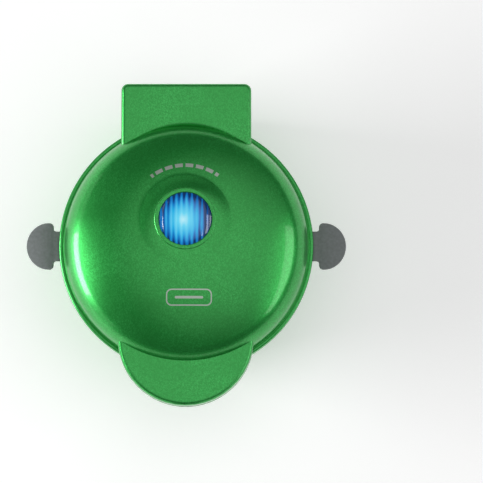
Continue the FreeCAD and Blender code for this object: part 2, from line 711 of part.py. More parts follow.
upper_cold_pins = [rod(f"upper_cold_pin_{side + 1}", cold_pin_radius, 12, "Y",
                       (side * cold_pin_spread, element_ring - 2, upper_z)) for side in (-1, 1)]
upper_open_ring = cut("upper_open_ring", upper_ring, [upper_gap])
keep("upper_heating_element", fused("upper_element_done", [upper_open_ring, *upper_cold_pins]))
strap_low = upper_z + element_radius
keep("upper_element_clamps", group("upper_element_clamps", [
    strap(f"upper_strap_{i}", strap_low, strap_low + strap_thick, a)
    for i, a in enumerate(clamp_angles)]))
shield_low = strap_low + 1.6
shield_top = shield_low + sheet_steel
shield_radius = size("shield_radius", 42)
shield_disc = turned("shield_disc", [(0, shield_low), (shield_radius, shield_low),
                                     (shield_radius, shield_top), (0, shield_top)])
shield_holes = pegs("shield_hole", screw_clearance, spacer_circle, spacer_angles,
                    shield_low - past, shield_top + past)
keep("upper_reflector", cut("upper_reflector_done", shield_disc, shield_holes))
keep("upper_spacers", group("upper_spacers", [
    spacer(f"upper_spacer_{i}", a, plate_dish_top, shield_low) for i, a in enumerate(spacer_angles)]))
keep("upper_reflector_screws", group("upper_reflector_screws", [
    screw(f"upper_reflector_screw_{i}", *around(a, spacer_circle), shield_top,
          shield_top - plate_dish_top, upward=False) for i, a in enumerate(spacer_angles)]))
upper_fuse_y = size("upper_fuse_y", -12)
keep("upper_thermal_fuse", fuse("upper_fuse_done", "X", 0, upper_fuse_y, plate_dish_top + fuse_radius))
keep("upper_leads", lead("upper_leads", [
    (0.2, hinge_y, hinge_z), (5.5, hinge_y, hinge_z), (8, hinge_y - 2, hinge_z + 3),
    (5, hinge_y - 8, hinge_z + 5.2), (3, 52, hinge_z + 6.5), (2, 44, upper_z)], lead_radius))

# ---------------------------------------------------------------- lens and lamp
lens_crown = size("lens_crown", 86.6)
lens_edge = collar_top - 0.5
gasket_thick = size("gasket_thick", 0.8)
flange_top = boss_underside - gasket_thick
flange_low_z = flange_top - 1.4
lens_flange_radius = lens_radius + 2.6
keep("indicator_lens", turned("indicator_lens", [
    (0, flange_low_z), (lens_flange_radius, flange_low_z), (lens_flange_radius, flange_top),
    (lens_radius, flange_top), (lens_radius, lens_edge, cap(lens_radius, lens_crown - lens_edge)),
    (0, lens_crown)], 0, lens_centre))
keep("lens_gasket", turned("lens_gasket", [
    (lens_radius + 0.3, flange_top), (lens_flange_radius, flange_top),
    (lens_flange_radius, boss_underside), (lens_radius + 0.3, boss_underside)], 0, lens_centre))
retainer_low = flange_low_z - 1.2
retainer_top = boss_underside - 0.4
retainer_bore = size("retainer_bore", 9)
keep("lens_retainer", turned("lens_retainer", [
    (retainer_bore, retainer_low), (lens_radius + 6.5, retainer_low), (lens_radius + 6.5, retainer_top),
    (lens_radius + 3, retainer_top), (lens_radius + 3, flange_low_z), (retainer_bore, flange_low_z)],
    0, lens_centre))
holder_low = size("holder_low", 68.5)
holder_depth = (lens_centre - 4, lens_centre + 4)
holder_base = box("holder_base", (-10, 10), holder_depth, (holder_low, holder_low + 1.4))
holder_legs = [box(f"holder_leg_{side + 1}", (side * 10.9 - 1.1, side * 10.9 + 1.1), holder_depth,
                   (holder_low, retainer_low)) for side in (-1, 1)]
keep("lamp_holder", fused("holder_done", [holder_base, *holder_legs]))
lamp_radius = size("lamp_radius", 2.6)
lamp_low = holder_low + 1.4
lamp_top = retainer_low - 0.4
lamp_shoulder = lamp_low + 1
lamp_crown = cap(lamp_radius, lamp_top - lamp_shoulder)
keep("indicator_lamp", turned("indicator_lamp", [
    (0, lamp_low), (lamp_radius, lamp_low), (lamp_radius, lamp_shoulder, lamp_crown),
    (0, lamp_top)], 0, lens_centre))

# ---------------------------------------------------------------- checks and files
doc.recompute()
for item in doc.Objects:
    if "Invalid" in item.State or "Error" in item.State:
        raise RuntimeError(f"{item.Name} failed: {item.State}")
for label, item in parts.items():
    if item.Shape.isNull() or not item.Shape.isValid() or not item.Shape.Solids:
        raise RuntimeError(f"{label} has no valid solid")
for label, item in parts.items():
    item.Shape.exportStep(f"parts/{label}.step")
    print(label, len(item.Shape.Solids), round(item.Shape.Volume))
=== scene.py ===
import math

import bmesh
import bpy
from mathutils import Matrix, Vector


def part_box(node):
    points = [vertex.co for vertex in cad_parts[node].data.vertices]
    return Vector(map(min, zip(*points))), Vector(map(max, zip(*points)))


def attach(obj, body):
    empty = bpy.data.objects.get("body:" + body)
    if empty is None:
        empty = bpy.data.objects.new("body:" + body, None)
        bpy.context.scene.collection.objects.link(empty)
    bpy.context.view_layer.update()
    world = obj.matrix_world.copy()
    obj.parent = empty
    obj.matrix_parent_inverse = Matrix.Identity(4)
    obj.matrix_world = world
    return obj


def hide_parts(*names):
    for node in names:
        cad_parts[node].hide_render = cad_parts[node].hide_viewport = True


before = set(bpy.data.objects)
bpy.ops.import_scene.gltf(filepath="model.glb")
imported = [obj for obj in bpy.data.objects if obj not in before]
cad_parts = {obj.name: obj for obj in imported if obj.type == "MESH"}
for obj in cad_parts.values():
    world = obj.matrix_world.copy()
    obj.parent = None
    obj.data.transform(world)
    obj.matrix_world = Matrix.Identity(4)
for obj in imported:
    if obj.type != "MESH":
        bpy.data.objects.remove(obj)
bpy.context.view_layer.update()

mm = 0.001

# ---------------------------------------------------------------- the table, the camera and the light
# The appliance stands on a worktop of white opal acrylic, lit from below. The camera looks down from a
# little in front, from far enough away that the sides stay nearly upright.
rim_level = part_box("upper_plate")[0].z - 0.3 * mm
seen_width = 0.2432
camera_distance = 1.45
film_width = 36
camera_tilt = math.radians(7.5)
aim = Vector((27.8 * mm, 2.2 * mm, rim_level + 1 * mm))

camera_data = bpy.data.cameras.new("camera")
camera_data.sensor_width = film_width
camera_data.lens = film_width * camera_distance / seen_width
camera_data.clip_start = 0.05
camera = bpy.data.objects.new("camera", camera_data)
bpy.context.scene.collection.objects.link(camera)
camera.location = aim + camera_distance * Vector((0, -math.sin(camera_tilt), math.cos(camera_tilt)))
camera.rotation_euler = (camera_tilt, 0, 0)
bpy.context.scene.camera = camera


def linear(hex_colour, alpha=1.0):
    """A colour written as sRGB hex, in the linear values that a shader takes."""
    channels = [int(hex_colour[i:i + 2], 16) / 255 for i in (1, 3, 5)]
    return [c / 12.92 if c <= 0.04045 else ((c + 0.055) / 1.055) ** 2.4 for c in channels] + [alpha]


def node(material, kind, links=(), **settings):
    """Adds one node to a material, sets its sockets and properties, and links sources to its inputs.
    set_Name gives a socket its value by name, and set_0 by number where several have the same name."""
    made = material.node_tree.nodes.new(kind)
    for name, value in settings.items():
        if name.startswith("set_"):
            socket = name[4:].replace("_", " ")
            made.inputs[int(socket) if socket.isdigit() else socket].default_value = value
        else:
            setattr(made, name, value)
    for socket, source in dict(links).items():
        material.node_tree.links.new(source, made.inputs[socket])
    return made


def blank(name):
    """A new material with nothing in it but its output, and the object's own coordinates in metres."""
    material = bpy.data.materials.new(name)
    material.use_nodes = True
    material.node_tree.nodes.clear()
    return material, node(material, "ShaderNodeTexCoord").outputs["Object"]


def surface(material, shader):
    node(material, "ShaderNodeOutputMaterial", {"Surface": shader.outputs[0]})
    return material


def add_piece(name, mesh, material, body, stands_for=()):
    """A finished mesh as a piece of the object: its material, its body and its CAD node."""
    piece = bpy.data.objects.new(name, mesh)
    bpy.context.scene.collection.objects.link(piece)
    mesh.materials.clear()
    mesh.materials.append(material)
    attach(piece, body)
    if stands_for:
        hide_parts(*stands_for)


def set_stops(ramp, *stops):
    """Gives a colour ramp its stops, each a position and a colour, from the lowest to the highest."""
    ends = ramp.color_ramp.elements[0], ramp.color_ramp.elements[1]
    for stop, (position, colour) in zip(ends, (stops[0], stops[-1])):
        stop.position, stop.color = position, colour
    for position, colour in stops[1:-1]:
        ramp.color_ramp.elements.new(position).color = colour


def lit_white_table():
    """Cast white opal acrylic: nearly matt, faintly cloudy, and lit from below so that only a faint
    shadow is left on it."""
    material, place = blank("cast_opal_white_acrylic")
    cloud = node(material, "ShaderNodeTexNoise", {"Vector": place}, set_Scale=1 / (111 * mm),
                 set_Detail=3.0)
    tone = node(material, "ShaderNodeValToRGB", {"Fac": cloud.outputs["Fac"]})
    set_stops(tone, (0, linear("#f7f7f7")), (1, linear("#fbfbfb")))
    white = tone.outputs["Color"]
    return surface(material, node(material, "ShaderNodeBsdfPrincipled",
                                  {"Base Color": white, "Emission Color": white},
                                  set_Emission_Strength=0.28, set_Roughness=0.75,
                                  set_Specular_IOR_Level=0.2))


floor_mesh = bpy.data.meshes.new("worktop")
floor_half = 3.0
floor_mesh.from_pydata([(-floor_half, -floor_half, 0), (floor_half, -floor_half, 0),
                        (floor_half, floor_half, 0), (-floor_half, floor_half, 0)], [], [(0, 1, 2, 3)])
floor = bpy.data.objects.new("worktop", floor_mesh)
floor_mesh.materials.append(lit_white_table())
bpy.context.scene.collection.objects.link(floor)

# The room's light: a bright white tent overhead, dark walls, and a pale band at the table's far edge.
world = bpy.data.worlds.new("studio")
world.use_nodes = True
direction = node(world, "ShaderNodeTexCoord").outputs["Generated"]
toward_tent = node(world, "ShaderNodeVectorMath", {0: direction}, operation="DOT_PRODUCT",
                   set_1=(0.2, 0.08, 0.977))
tent = node(world, "ShaderNodeValToRGB", {"Fac": toward_tent.outputs["Value"]})
set_stops(tent, (0.56, (0.03, 0.03, 0.03, 1)), (0.76, (0.6, 0.6, 0.6, 1)), (0.96, (0.92, 0.92, 0.92, 1)))
upward = node(world, "ShaderNodeSeparateXYZ", {0: direction})
cove = node(world, "ShaderNodeValToRGB", {"Fac": upward.outputs["Z"]})
set_stops(cove, (0.04, (0.95, 0.95, 0.95, 1)), (0.12, (0, 0, 0, 1)))
studio_light = node(world, "ShaderNodeMix", {6: tent.outputs["Color"], 7: cove.outputs["Color"]},
                    data_type="RGBA", blend_type="LIGHTEN", set_0=1.0)
world.node_tree.links.new(studio_light.outputs[2], world.node_tree.nodes["Background"].inputs["Color"])
bpy.context.scene.world = world
bpy.context.scene.view_settings.view_transform = "Standard"


def softbox(name, lean, swing, distance, width, height, power):
    """A soft lamp: lean is its angle from straight up and swing is the turn of that lean from +X, both
    in degrees. Its width lies level, round the table, and it faces a point just over the middle."""
    data = bpy.data.lights.new(name, "AREA")
    data.shape = "RECTANGLE"
    data.size = width
    data.size_y = height
    data.energy = power
    lamp = bpy.data.objects.new(name, data)
    bpy.context.scene.collection.objects.link(lamp)
    lean, swing = math.radians(lean), math.radians(swing)
    way = Vector((math.sin(lean) * math.cos(swing), math.sin(lean) * math.sin(swing), math.cos(lean)))
    lamp.location = Vector((0, 0, 0.05)) + distance * way
    lamp.rotation_euler = way.to_track_quat("Z", "Y").to_euler()


softbox("strip_left", 73, 180, 1.3, 2.4, 0.4, 2.4)
softbox("lamp_left", 76, 185, 1.25, 0.74, 0.44, 14.0)
softbox("strip_right", 62, 350, 1.5, 1.3, 0.3, 4.2)

# ---------------------------------------------------------------- lid shell
# The green lid is one moulding of mica-filled plastic: a domed cover with a beaded rim, a square
# block over the hinge, a tongue-shaped handle and a raised collar round the pilot light's window.
lid_low, lid_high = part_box("lid_cover")
wall = 2.2 * mm
bowl_radius = 61.5 * mm
bead_top = rim_level + 3 * mm
shoulder_radius = 17 * mm
shoulder_centre = bowl_radius - shoulder_radius
dome_rise = 29 * mm
lens_low, lens_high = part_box("indicator_lens")
lens_y = (lens_low.y + lens_high.y) / 2
collar_top = lid_high.z - 1.0 * mm
collar_radius = 15.3 * mm
bore_radius = 13.1 * mm


def dome_height(radius, offset=0.0):
    """The dome's height over the table: a tight shoulder arc, then a wide crown; offset goes inwards."""
    shoulder = shoulder_radius
    crown = (shoulder_centre ** 2 + dome_rise ** 2 - shoulder ** 2) / (2 * (dome_rise - shoulder))
    if radius < (crown - offset) * shoulder_centre / (crown - shoulder):
        return bead_top + dome_rise - crown + math.sqrt((crown - offset) ** 2 - radius ** 2)
    return bead_top + math.sqrt(max((shoulder - offset) ** 2 - (radius - shoulder_centre) ** 2, 0))


def ease(x, low, high):
    """0 below low, 1 above high, and smooth between them."""
    x = min(max((x - low) / (high - low), 0), 1)
    return x * x * (3 - 2 * x)


def skin(bm, loops, first_cap=False, last_cap=False):
    """Joins closed loops of equal length, one after the other, into a surface."""
    rings = [[bm.verts.new(point) for point in loop] for loop in loops]
    for ring_a, ring_b in zip(rings, rings[1:]):
        for i in range(len(ring_a)):
            j = (i + 1) % len(ring_a)
            bm.faces.new((ring_a[i], ring_a[j], ring_b[j], ring_b[i]))
    if first_cap:
        bm.faces.new(rings[0][::-1])
    if last_cap:
        bm.faces.new(rings[-1])
    return rings


def close(bm, rings):
    """Joins the last loop of a skin back to its first, so that the shell is closed."""
    for i in range(len(rings[0])):
        j = (i + 1) % len(rings[0])
        bm.faces.new((rings[-1][i], rings[-1][j], rings[0][j], rings[0][i]))


def finished_mesh(name, bm, sharp_degrees=32):
    """Turns a bmesh into a mesh with outward faces, smooth but for its real corners."""
    bmesh.ops.remove_doubles(bm, verts=bm.verts, dist=0.002 * mm)
    bmesh.ops.recalc_face_normals(bm, faces=bm.faces)
    mesh = bpy.data.meshes.new(name)
    bm.to_mesh(mesh)
    bm.free()
    mesh.shade_smooth()
    mesh.set_sharp_from_angle(angle=math.radians(sharp_degrees))
    return mesh


round_steps = 288
even_turns = [math.tau * i / round_steps for i in range(round_steps)]


def circle(radius, height, centre_y=0.0, turns=even_turns):
    """A loop round the bowl's axis, or round the lens. The height is a number or a function of the
    distances from the bowl's axis and from the lens's."""
    loop = []
    for turn in turns:
        x, y = radius * math.cos(turn), centre_y + radius * math.sin(turn)
        z = height(math.hypot(x, y), math.hypot(x, y - lens_y)) if callable(height) else height
        loop.append((x, y, z))
    return loop


flare_width = 7.8 * mm
flare_hollow = 1.3


def outer_height(from_axis, from_lens):
    """The dome with the collar's flared skirt blended into it."""
    reach = min(max((from_lens - collar_radius) / flare_width, 0), 1)
    lift = (1 - reach) ** flare_hollow
    base = dome_height(from_axis)
    return base + (collar_top - 0.4 * mm - base) * lift


def inner_height(from_axis, from_lens):
    return dome_height(from_axis, wall)


def spread(start, end, count):
    """Even steps from start to end, with both of them."""
    return [start + (end - start) * i / count for i in range(count + 1)]


shift_start, shift_end = 23 * mm, 46 * mm


def lens_shift(radius):
    """Where a loop's centre lies in y: loops leave the lens's axis for the bowl's as they widen."""
    return lens_y * (1 - ease(radius, shift_start, shift_end))


def shoulder_loop(angle, arc_radius):
    """A loop of the dome's shoulder, or of its inner side, at an angle in degrees from level."""
    return circle(shoulder_centre + arc_radius * math.cos(math.radians(angle)),
                  bead_top + arc_radius * math.sin(math.radians(angle)))


# The profiles are in millimetres: each radius with its drop below the collar, or its height over the
# bead.
lid = bmesh.new()
seat_level = collar_top - 9.6 * mm
collar_lip = [(13.15, 0.25), (13.3, 0.08), (13.5, 0), (14.7, 0), (14.95, 0.04), (15.15, 0.14), (15.3, 0.32)]
rim_profile = [(61.62, 0.35), (61.8, 0.02), (62.05, -0.08), (62.3, 0.0), (62.75, 0.14), (63.2, 0.06),
               (63.62, -0.2), (63.9, -0.6), (64.0, -1.1), (64.0, -2.3), (63.9, -2.75), (63.6, -3.0),
               (59.7, -3.0), (59.4, -2.9), (59.3, -2.6)]
loops = [circle(19.0 * mm, seat_level, lens_y), circle(bore_radius, seat_level, lens_y),
         circle(bore_radius, collar_top - 0.5 * mm, lens_y)]
loops += [circle(radius * mm, collar_top - drop * mm, lens_y) for radius, drop in collar_lip]
loops += [circle(radius, outer_height, lens_y)
          for radius in spread(collar_radius + 0.05 * mm, shift_start + 0.1 * mm, 18)]
loops += [circle(radius, outer_height, lens_shift(radius))
          for radius in spread(24.5 * mm, shift_end, 14) + spread(48 * mm, 53 * mm, 3)]
loops += [shoulder_loop(angle, shoulder_radius) for angle in spread(60, 3, 24)]
loops += [circle(radius * mm, bead_top + rise * mm) for radius, rise in rim_profile]
loops += [shoulder_loop(angle, shoulder_radius - wall) for angle in spread(0, 60, 12)]
loops += [circle(radius, inner_height, lens_shift(radius))
          for radius in spread(50 * mm, 24 * mm, 10) + [19.6 * mm]]
close(lid, skin(lid, loops))


def rounded_block(half_width, front, rear, corner):
    """The plan of a hinge block: rounded corners at the rear, and a front edge that front(x, level)
    gives."""
    def plan(inset, level):
        r = max(corner - inset, 0.15 * mm)
        x, y = half_width - inset - r, rear - inset - r
        arc_right = [(x + r * math.cos(a), y + r * math.sin(a)) for a in spread(0, math.pi / 2, 8)]
        arc_left = [(-x - r * math.cos(a), y + r * math.sin(a)) for a in spread(math.pi / 2, 0, 8)]
        side = spread(front(x + r, level) + inset, y, 12)[:-1]
        across = spread(-x - r, x + r, 40)[1:-1]
        return ([(x + r, v) for v in side] + arc_right + arc_left + [(-x - r, v) for v in side[::-1]]
                + [(v, front(v, level) + inset) for v in across])
    return plan


def tongue(half_width, tip, core):
    """The plan of a handle: a half-round front, and a hollow back that runs inside the bowl's wall, whose
    radius there is core(level)."""
    centre = half_width - tip

    def plan(inset, level):
        r, inner = half_width - inset, core(level)
        y = (inner ** 2 + centre ** 2 - r ** 2) / (2 * centre)
        x = math.sqrt(inner ** 2 - y ** 2)
        start = math.atan2(y - centre, -x)
        bow = [(r * math.cos(a), centre + r * math.sin(a)) for a in spread(start, -math.pi - start, 64)]
        right = math.atan2(y, x)
        back = [(inner * math.cos(a), inner * math.sin(a))
                for a in spread(right, -math.pi - right, 40)[1:-1]]
        return bow + back
    return plan


ring_inside = 60.6 * mm


def moulded_cap(bm, plan, rim, top, edge_round, thickness, rim_inside=0.0):
    """A hollow moulded cap over a plan: thin walls, a rounded top edge and an open underside. Its rim
    inside the bowl's ring is higher, at rim_inside."""
    levels = [(thickness, top - thickness), (thickness, rim + 0.3 * mm), (thickness - 0.3 * mm, rim),
              (0.3 * mm, rim), (0.05 * mm, rim + 0.12 * mm), (0, rim + 0.4 * mm)]
    levels += [(0, level) for level in spread(rim + 1.5 * mm, top - edge_round, 6)]
    levels += [(edge_round * (1 - math.cos(a)), top - edge_round * (1 - math.sin(a)))
               for a in spread(0.12, math.pi / 2, 9)]
    levels += [(edge_round + 0.6 * mm, top), (edge_round + 3 * mm, top)]
    loops = []
    for inset, level in levels:
        loops.append([(x, y, max(level, rim_inside) if math.hypot(x, y) < ring_inside else level)
                      for x, y in plan(inset, level)])
    skin(bm, loops, first_cap=True, last_cap=True)


block_top = rim_level + 12 * mm
block_half = 32.75 * mm
edge_round = 2.4 * mm
over_plate = rim_level + 4.5 * mm
dome_at_block = shoulder_centre + math.sqrt(shoulder_radius ** 2 - (block_top - bead_top) ** 2)
valley_depth, valley_swell = 2.8 * mm, 3.2 * mm


def valley_edge(x, level):
    """The block's front edge: its rounding leaves a dark valley at the dome, which closes at the sides."""
    share = min(abs(x) / block_half, 1)
    reach = dome_at_block - valley_depth + valley_swell * (1 - share ** 2)
    return math.sqrt(reach ** 2 - x ** 2)


def dome_core(level):
    """How far in the handle's hollow back runs at a height: just under the dome's skin."""
    return 60.8 * mm if level < bead_top else dome_at_block - 1.2 * mm


moulded_cap(lid, rounded_block(block_half, valley_edge, lid_high.y, 3.5 * mm), rim_level, block_top,
            edge_round, wall, over_plate)
moulded_cap(lid, tongue(34 * mm, -lid_low.y, dome_core), rim_level, block_top, edge_round, wall,
            over_plate)


def inset_loop(points, inset):
    """A closed plan of (u, v) points, moved inwards. The points run anticlockwise."""
    moved = []
    for i, (u, v) in enumerate(points):
        before, after = points[i - 1], points[(i + 1) % len(points)]
        along = Vector((after[0] - before[0], after[1] - before[1])).normalized()
        moved.append((u - along.y * inset, v + along.x * inset))
    return moved


def slab(bm, points, low, high, edge, across=False):
    """A flat moulded piece over a plan, with its edges broken. Its thickness lies along z, or along x
    where it is across."""
    levels = [(edge, low), (edge * 0.3, low + edge * 0.3), (0, low + edge), (0, high - edge),
              (edge * 0.3, high - edge * 0.3), (edge, high)]
    loops = []
    for inset, level in levels:
        plan = inset_loop(points, inset)
        loops.append([(level, u, v) if across else (u, v, level) for u, v in plan])
    skin(bm, loops, first_cap=True, last_cap=True)


hinge_low, hinge_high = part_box("hinge_pins")
hinge_y = (hinge_low.y + hinge_high.y) / 2
hinge_z = (hinge_low.z + hinge_high.z) / 2
lug_radius = hinge_z - lid_low.z


def eye(radius, start, end, steps=24):
    """Part of a round eye about the hinge, from one angle to another in degrees."""
    return [(hinge_y + radius * math.cos(math.radians(a)), hinge_z + radius * math.sin(math.radians(a)))
            for a in spread(start, end, steps)]


lug_roof = block_top - wall + 0.4 * mm
lug_plan = eye(lug_radius, 180, 360) + [(hinge_y + lug_radius, lug_roof),
                                        (hinge_y - lug_radius, lug_roof)]
lug_inner, lug_outer = 23.4 * mm, block_half - wall + 0.4 * mm
slab(lid, lug_plan, lug_inner, lug_outer, 0.3 * mm, across=True)
slab(lid, lug_plan, -lug_outer, -lug_inner, 0.3 * mm, across=True)


def printed_marks(material, place):
    """Where the lid is pad-printed, as 0 or 1: an arc of short dashes behind the window, and a plain
    rounded frame with a bar in it in front of the window."""
    arc_radius, arc_line, dash_pitch = 27.7 * mm, 0.95 * mm, 5.2 * mm
    flat = node(material, "ShaderNodeVectorMath", {0: place}, operation="MULTIPLY", set_1=(1, 1, 0))
    about_lens = node(material, "ShaderNodeVectorMath", {0: flat.outputs[0]}, operation="SUBTRACT",
                      set_1=(0, lens_y, 0))
    way = node(material, "ShaderNodeSeparateXYZ", {0: about_lens.outputs[0]})
    reach = node(material, "ShaderNodeVectorMath", {0: about_lens.outputs[0]}, operation="LENGTH")
    turn = node(material, "ShaderNodeMath", {0: way.outputs["X"], 1: way.outputs["Y"]}, operation="ARCTAN2")
    on_arc = node(material, "ShaderNodeMath", {0: reach.outputs["Value"]}, operation="COMPARE",
                  set_1=arc_radius, set_2=arc_line)
    in_span = node(material, "ShaderNodeMath", {0: turn.outputs[0]}, operation="COMPARE",
                   set_1=math.radians(-1), set_2=math.radians(37))
    beat = node(material, "ShaderNodeMath", {0: turn.outputs[0]}, operation="DIVIDE",
                set_1=dash_pitch / arc_radius)
    share = node(material, "ShaderNodeMath", {0: beat.outputs[0]}, operation="FRACT")
    dash = node(material, "ShaderNodeMath", {0: share.outputs[0]}, operation="LESS_THAN", set_1=0.74)
    arc = node(material, "ShaderNodeMath", {0: on_arc.outputs[0], 1: in_span.outputs[0]},
               operation="MULTIPLY")
    marks = node(material, "ShaderNodeMath", {0: arc.outputs[0], 1: dash.outputs[0]}, operation="MULTIPLY")

    from_badge = node(material, "ShaderNodeVectorMath", {0: flat.outputs[0]}, operation="SUBTRACT",
                      set_1=(1.9 * mm, -29 * mm, 0))
    mirrored = node(material, "ShaderNodeVectorMath", {0: from_badge.outputs[0]}, operation="ABSOLUTE")
    for half_x, half_y, corner, line in ((8.6, 1.4, 2.4, 0.32), (6.4, 0, 0, 0.62)):
        beyond = node(material, "ShaderNodeVectorMath", {0: mirrored.outputs[0]}, operation="SUBTRACT",
                      set_1=(half_x * mm, half_y * mm, 0))
        outside = node(material, "ShaderNodeVectorMath", {0: beyond.outputs[0]}, operation="MAXIMUM",
                       set_1=(0, 0, 0))
        gap = node(material, "ShaderNodeVectorMath", {0: outside.outputs[0]}, operation="LENGTH")
        stroke = node(material, "ShaderNodeMath", {0: gap.outputs["Value"]}, operation="COMPARE",
                      set_1=corner * mm, set_2=line * mm)
        marks = node(material, "ShaderNodeMath", {0: marks.outputs[0], 1: stroke.outputs[0]},
                     operation="MAXIMUM")
    return marks.outputs[0]


def mica_filled_plastic(name, printed=False):
    """Metallic green ABS, injection moulded: mica flakes under a clear gloss skin. It gives a deep green
    that turns bright where it faces a lamp, fine glitter, and white glints on tight curves."""
    material, place = blank(name)
    flake_size = 0.45 * mm
    flakes = node(material, "ShaderNodeTexVoronoi", {"Vector": place}, set_Scale=1 / flake_size)
    glint = node(material, "ShaderNodeMapRange", {"Value": flakes.outputs["Color"]},
                 set_From_Min=0.25, set_From_Max=0.95)
    cloud = node(material, "ShaderNodeTexNoise", {"Vector": place}, set_Scale=1 / (22.2 * mm),
                 set_Detail=4.0)
    blend = node(material, "ShaderNodeMath", {0: glint.outputs["Result"], 1: cloud.outputs["Fac"]},
                 operation="MULTIPLY")
    tone = node(material, "ShaderNodeValToRGB", {"Fac": blend.outputs[0]})
    set_stops(tone, (0.05, linear("#27993f")), (0.75, linear("#40c05c")))
    colour = tone.outputs["Color"]
    if printed:
        ink = node(material, "ShaderNodeMix", {0: printed_marks(material, place), 6: colour},
                   data_type="RGBA", set_7=linear("#b4c2b6"))
        colour = ink.outputs[2]
    gloss = node(material, "ShaderNodeMapRange", {"Value": cloud.outputs["Fac"]},
                 set_To_Min=0.27, set_To_Max=0.34)
    grain = node(material, "ShaderNodeTexNoise", {"Vector": place}, set_Scale=1 / (0.9 * mm),
                 set_Detail=2.0)
    relief = node(material, "ShaderNodeBump", {"Height": grain.outputs["Fac"]},
                  set_Strength=0.04, set_Distance=0.02 * mm)
    return surface(material, node(material, "ShaderNodeBsdfPrincipled",
                                  {"Base Color": colour, "Roughness": gloss.outputs["Result"],
                                   "Normal": relief.outputs["Normal"]},
                                  set_Metallic=0.72, set_Coat_Weight=0.5, set_Coat_Roughness=0.07,
                                  set_IOR=1.5))


add_piece("lid_shell", finished_mesh("lid_shell", lid),
          mica_filled_plastic("moulded_green_mica_abs_printed", printed=True), "lid",
          ["lid_cover"])

# ---------------------------------------------------------------- pilot light's window
# A blue polycarbonate lens pressed up through the lid from inside, with straight flutes moulded into it.
# The lamp's light through it is painted on as a glow, pale in the middle and dark at the rim.
flute_pitch = 2.55 * mm
flute_depth = 0.15 * mm
lens_radius = 12.98 * mm
lens_edge = collar_top - 0.5 * mm
lens_rise = lens_high.z - lens_edge - 0.16 * mm


def lens_height(x, y):
    """The lens's top: a low crown with flutes along y, which fade out towards the edge."""
    reach = math.hypot(x, y) / lens_radius
    crown = lens_edge + lens_rise * (1 - reach ** 2)
    fade = 1 - ease(reach, 0.86, 1.0)
    return crown + flute_depth * abs(math.cos(math.pi * x / flute_pitch)) * fade


lens = bmesh.new()
lens_loops = []
for radius in spread(0.12 * mm, lens_radius, 56):
    lens_loops.append([(radius * math.cos(a), lens_y + radius * math.sin(a),
                        lens_height(radius * math.cos(a), radius * math.sin(a))) for a in even_turns])
flange_radius = (lens_high.x - lens_low.x) / 2
flange_top, flange_edge = 1.4 * mm, 0.2 * mm
for radius, height in ((lens_radius, flange_top), (flange_radius - flange_edge, flange_top),
                       (flange_radius, flange_top - flange_edge), (flange_radius, flange_edge),
                       (flange_radius - flange_edge, 0), (3 * mm, 0)):
    lens_loops.append(circle(radius, lens_low.z + height, lens_y))
skin(lens, lens_loops, first_cap=True, last_cap=True)


def blue_polycarbonate():
    """Clear blue polycarbonate over the neon lamp, whose light is painted on as a glow: strongest over the
    lamp, broken by the flutes into painted streaks that show more away from the middle, and the skin is
    glossy."""
    material, place = blank("fluted_blue_polycarbonate")
    centred = node(material, "ShaderNodeMapping", {"Vector": place},
                   set_Location=(0.9 * mm, 1.0 * mm - lens_y, 0))
    flat = node(material, "ShaderNodeVectorMath", {0: centred.outputs[0]}, operation="MULTIPLY",
                set_1=(1.0, 0.88, 0.0))
    reach = node(material, "ShaderNodeVectorMath", {0: flat.outputs[0]}, operation="LENGTH")
    share = node(material, "ShaderNodeMath", {0: reach.outputs["Value"]}, operation="DIVIDE",
                 set_1=lens_radius)
    parts = node(material, "ShaderNodeSeparateXYZ", {"Vector": place})
    stretched = node(material, "ShaderNodeMapping", {"Vector": place}, set_Scale=(1.0, 0.22, 1.0))
    blotch = node(material, "ShaderNodeTexNoise", {"Vector": stretched.outputs[0]},
                  set_Scale=1 / (2.38 * mm), set_Detail=3.0)
    shaken = node(material, "ShaderNodeMath", {0: blotch.outputs["Fac"], 2: parts.outputs["X"]},
                  operation="MULTIPLY_ADD", set_1=0.9 * mm)
    wave = node(material, "ShaderNodeMath", {0: shaken.outputs[0]}, operation="MULTIPLY",
                set_1=math.tau / flute_pitch)
    painted_streak = node(material, "ShaderNodeMath", {0: wave.outputs[0]}, operation="COSINE")
    uneven = node(material, "ShaderNodeMath", {0: painted_streak.outputs[0], 1: blotch.outputs["Fac"]},
                  operation="MULTIPLY")
    outward = node(material, "ShaderNodeMath", {0: uneven.outputs[0], 1: share.outputs[0]},
                   operation="MULTIPLY")
    wobble = node(material, "ShaderNodeMath", {0: outward.outputs[0], 2: share.outputs[0]},
                  operation="MULTIPLY_ADD", set_1=0.36)
    # Painted glow: the lamp's light is painted on as emission, pale in the middle, dark at the rim, in
    # streaks along the flutes.
    glow = node(material, "ShaderNodeValToRGB", {"Fac": wobble.outputs[0]})
    set_stops(glow, (0, linear("#b9eef4")), (0.22, linear("#5fd4ee")), (0.5, linear("#27b2e2")),
              (0.68, linear("#1580c6")), (0.84, linear("#0c4f94")), (0.9333, linear("#07204c")))
    return surface(material, node(material, "ShaderNodeBsdfPrincipled",
                                  {"Emission Color": glow.outputs["Color"]},
                                  set_Base_Color=linear("#0a2c52"), set_Emission_Strength=0.92,
                                  set_Roughness=0.1, set_IOR=1.585, set_Coat_Weight=0.4,
                                  set_Coat_Roughness=0.04))


add_piece("pilot_lens", finished_mesh("pilot_lens", lens, 40), blue_polycarbonate(), "lid",
          ["indicator_lens"])

# ---------------------------------------------------------------- base shell
# The green base is a second moulding: a bowl with a beaded rim, notches for the mould's tabs, a short
# lower handle, a block at the rear for the mains lead and two ears that carry the hinge pins.
base_low, base_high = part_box("base_housing")
base_rim = rim_level - 1 * mm
notch_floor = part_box("ring_mould")[1].z - 3.0 * mm
notch_half = 8.2 * mm
bowl_floor_radius = 52 * mm
bowl_straight = 36 * mm
bowl_curve = 64 * mm


